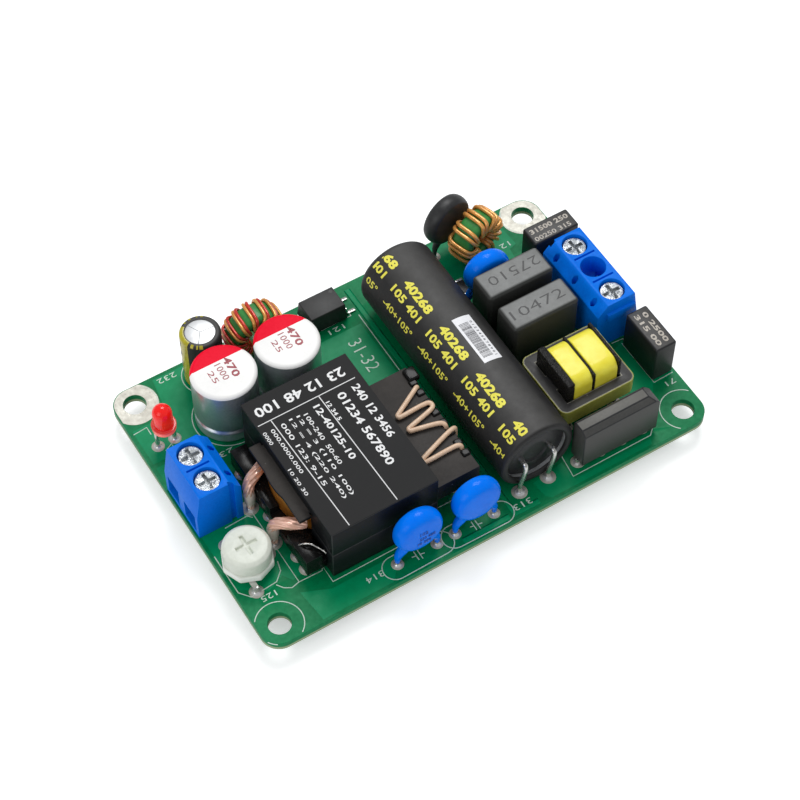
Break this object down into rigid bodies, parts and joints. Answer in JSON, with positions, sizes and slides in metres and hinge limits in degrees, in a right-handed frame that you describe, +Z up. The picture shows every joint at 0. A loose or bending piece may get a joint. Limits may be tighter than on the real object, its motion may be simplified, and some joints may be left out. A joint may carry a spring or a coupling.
{
  "type": "open frame power supply",
  "caption": "Open frame switching power supply on a bare green circuit board with two blue screw terminal blocks",
  "frame": {"origin": "centre of the four mounting holes, on the underside of the board", "axes": "+X from the output end to the input end, +Y across the board, +Z up out of the parts side"},
  "size_m": [0.0764, 0.0504, 0.0167],
  "materials": {
    "board": "green solder mask over woven glass laminate, with pale ink print",
    "terminal_plastic": "moulded blue nylon",
    "contact_metal": "nickel plated brass",
    "screw_steel": "zinc plated steel screws",
    "guard_steel": "plated spring steel",
    "lead_wire": "tinned wire and formed pins",
    "solder": "bright tin solder",
    "trimmer_white": "milky white moulding",
    "led_red": "clear red resin",
    "can_aluminium": "drawn aluminium can with a printed top",
    "sleeve_black": "shrunk black film",
    "seal_rubber": "dense black rubber",
    "ferrite": "pressed and fired ferrite, dark grey",
    "label_film": "satin black film with white rules",
    "black_moulding": "black glass filled moulding",
    "coil_tape": "yellow polyester tape over the coil",
    "magnet_wire": "enamelled copper wire",
    "stranded_wire": "stranded copper seen through thin wrapping",
    "insulated_wire": "tan triple insulated wire",
    "ring_green": "painted iron powder ring",
    "box_black": "black moulded box filled with resin",
    "disc_blue": "dipped blue resin",
    "disc_black": "dipped black resin",
    "chip_body": "fired ceramic chips"
  },
  "bodies": {
    "root": {"circuit_board": "board", "output_terminal_housing": "terminal_plastic", "input_terminal_housing": "terminal_plastic", "output_terminal_contacts": "contact_metal", "input_terminal_contacts": "contact_metal", "trimmer_base": "trimmer_white", "trimmer_terminals": "lead_wire", "status_led": "led_red", "status_led_leads": "lead_wire", "output_capacitor_1": "can_aluminium", "output_capacitor_2": "can_aluminium", "filter_capacitor_can": "can_aluminium", "filter_capacitor_sleeve": "sleeve_black", "radial_capacitor_leads": "lead_wire", "bulk_capacitor_can": "can_aluminium", "bulk_capacitor_sleeve": "sleeve_black", "bulk_capacitor_seal": "seal_rubber", "bulk_capacitor_leads": "lead_wire", "transformer_core_lower": "ferrite", "transformer_core_upper": "ferrite", "transformer_label": "label_film", "transformer_bobbin": "black_moulding", "transformer_winding": "coil_tape", "transformer_pins": "lead_wire", "transformer_output_leads": "stranded_wire", "transformer_input_wires": "insulated_wire", "transformer_shield_wire": "lead_wire", "choke_core": "ferrite", "choke_tape": "coil_tape", "choke_bobbin": "black_moulding", "choke_windings": "coil_tape", "choke_pins": "lead_wire", "input_inductor_core": "ring_green", "input_inductor_windings": "magnet_wire", "output_inductor_core": "ring_green", "output_inductor_winding": "magnet_wire", "suppression_capacitors": "box_black", "fuses": "box_black", "disc_capacitors": "disc_blue", "disc_capacitor_leads": "lead_wire", "thermistor": "disc_black", "bridge_rectifier": "box_black", "input_component_leads": "lead_wire", "optocoupler": "black_moulding", "package_leads": "lead_wire", "controller_chips": "black_moulding", "power_transistors": "black_moulding", "chip_resistors": "chip_body", "chip_capacitors": "chip_body", "chip_terminations": "lead_wire", "solder_joints": "solder"},
    "output_guard_1": {"output_wire_guard_1": "guard_steel"},
    "output_screw_1": {"output_terminal_screw_1": "screw_steel"},
    "output_guard_2": {"output_wire_guard_2": "guard_steel"},
    "output_screw_2": {"output_terminal_screw_2": "screw_steel"},
    "input_guard_1": {"input_wire_guard_1": "guard_steel"},
    "input_screw_1": {"input_terminal_screw_1": "screw_steel"},
    "input_guard_2": {"input_wire_guard_2": "guard_steel"},
    "input_screw_2": {"input_terminal_screw_2": "screw_steel"},
    "trimmer_knob": {"trimmer_rotor": "trimmer_white"}
  },
  "joints": [
    {"name": "output_guard_1_travel", "type": "slide", "parent": "root", "child": "output_guard_1", "axis": [0, 0, -1], "range_m": [0, 0.0017]},
    {"name": "output_screw_1_turn", "type": "hinge", "parent": "output_guard_1", "child": "output_screw_1", "pos_m": [-0.03455, -0.0013, 0.0096], "axis": [0, 0, -1], "range_deg": [0, 1224]},
    {"name": "output_guard_2_travel", "type": "slide", "parent": "root", "child": "output_guard_2", "axis": [0, 0, -1], "range_m": [0, 0.0017]},
    {"name": "output_screw_2_turn", "type": "hinge", "parent": "output_guard_2", "child": "output_screw_2", "pos_m": [-0.03455, 0.0037, 0.0096], "axis": [0, 0, -1], "range_deg": [0, 1224]},
    {"name": "input_guard_1_travel", "type": "slide", "parent": "root", "child": "input_guard_1", "axis": [0, 0, -1], "range_m": [0, 0.0017]},
    {"name": "input_screw_1_turn", "type": "hinge", "parent": "input_guard_1", "child": "input_screw_1", "pos_m": [0.03385, -0.0035, 0.0096], "axis": [0, 0, -1], "range_deg": [0, 1224]},
    {"name": "input_guard_2_travel", "type": "slide", "parent": "root", "child": "input_guard_2", "axis": [0, 0, -1], "range_m": [0, 0.0017]},
    {"name": "input_screw_2_turn", "type": "hinge", "parent": "input_guard_2", "child": "input_screw_2", "pos_m": [0.03385, 0.0065, 0.0096], "axis": [0, 0, -1], "range_deg": [0, 1224]},
    {"name": "trimmer_turn", "type": "hinge", "parent": "root", "child": "trimmer_knob", "pos_m": [-0.03405, -0.0113, 0.0072], "axis": [0, 0, 1], "range_deg": [-105, 105]}
  ],
  "couplings": [
    {"joint": "output_screw_1_turn", "follows": "output_guard_1_travel", "rad_per_m": 12566},
    {"joint": "output_screw_2_turn", "follows": "output_guard_2_travel", "rad_per_m": 12566},
    {"joint": "input_screw_1_turn", "follows": "input_guard_1_travel", "rad_per_m": 12566},
    {"joint": "input_screw_2_turn", "follows": "input_guard_2_travel", "rad_per_m": 12566}
  ]
}
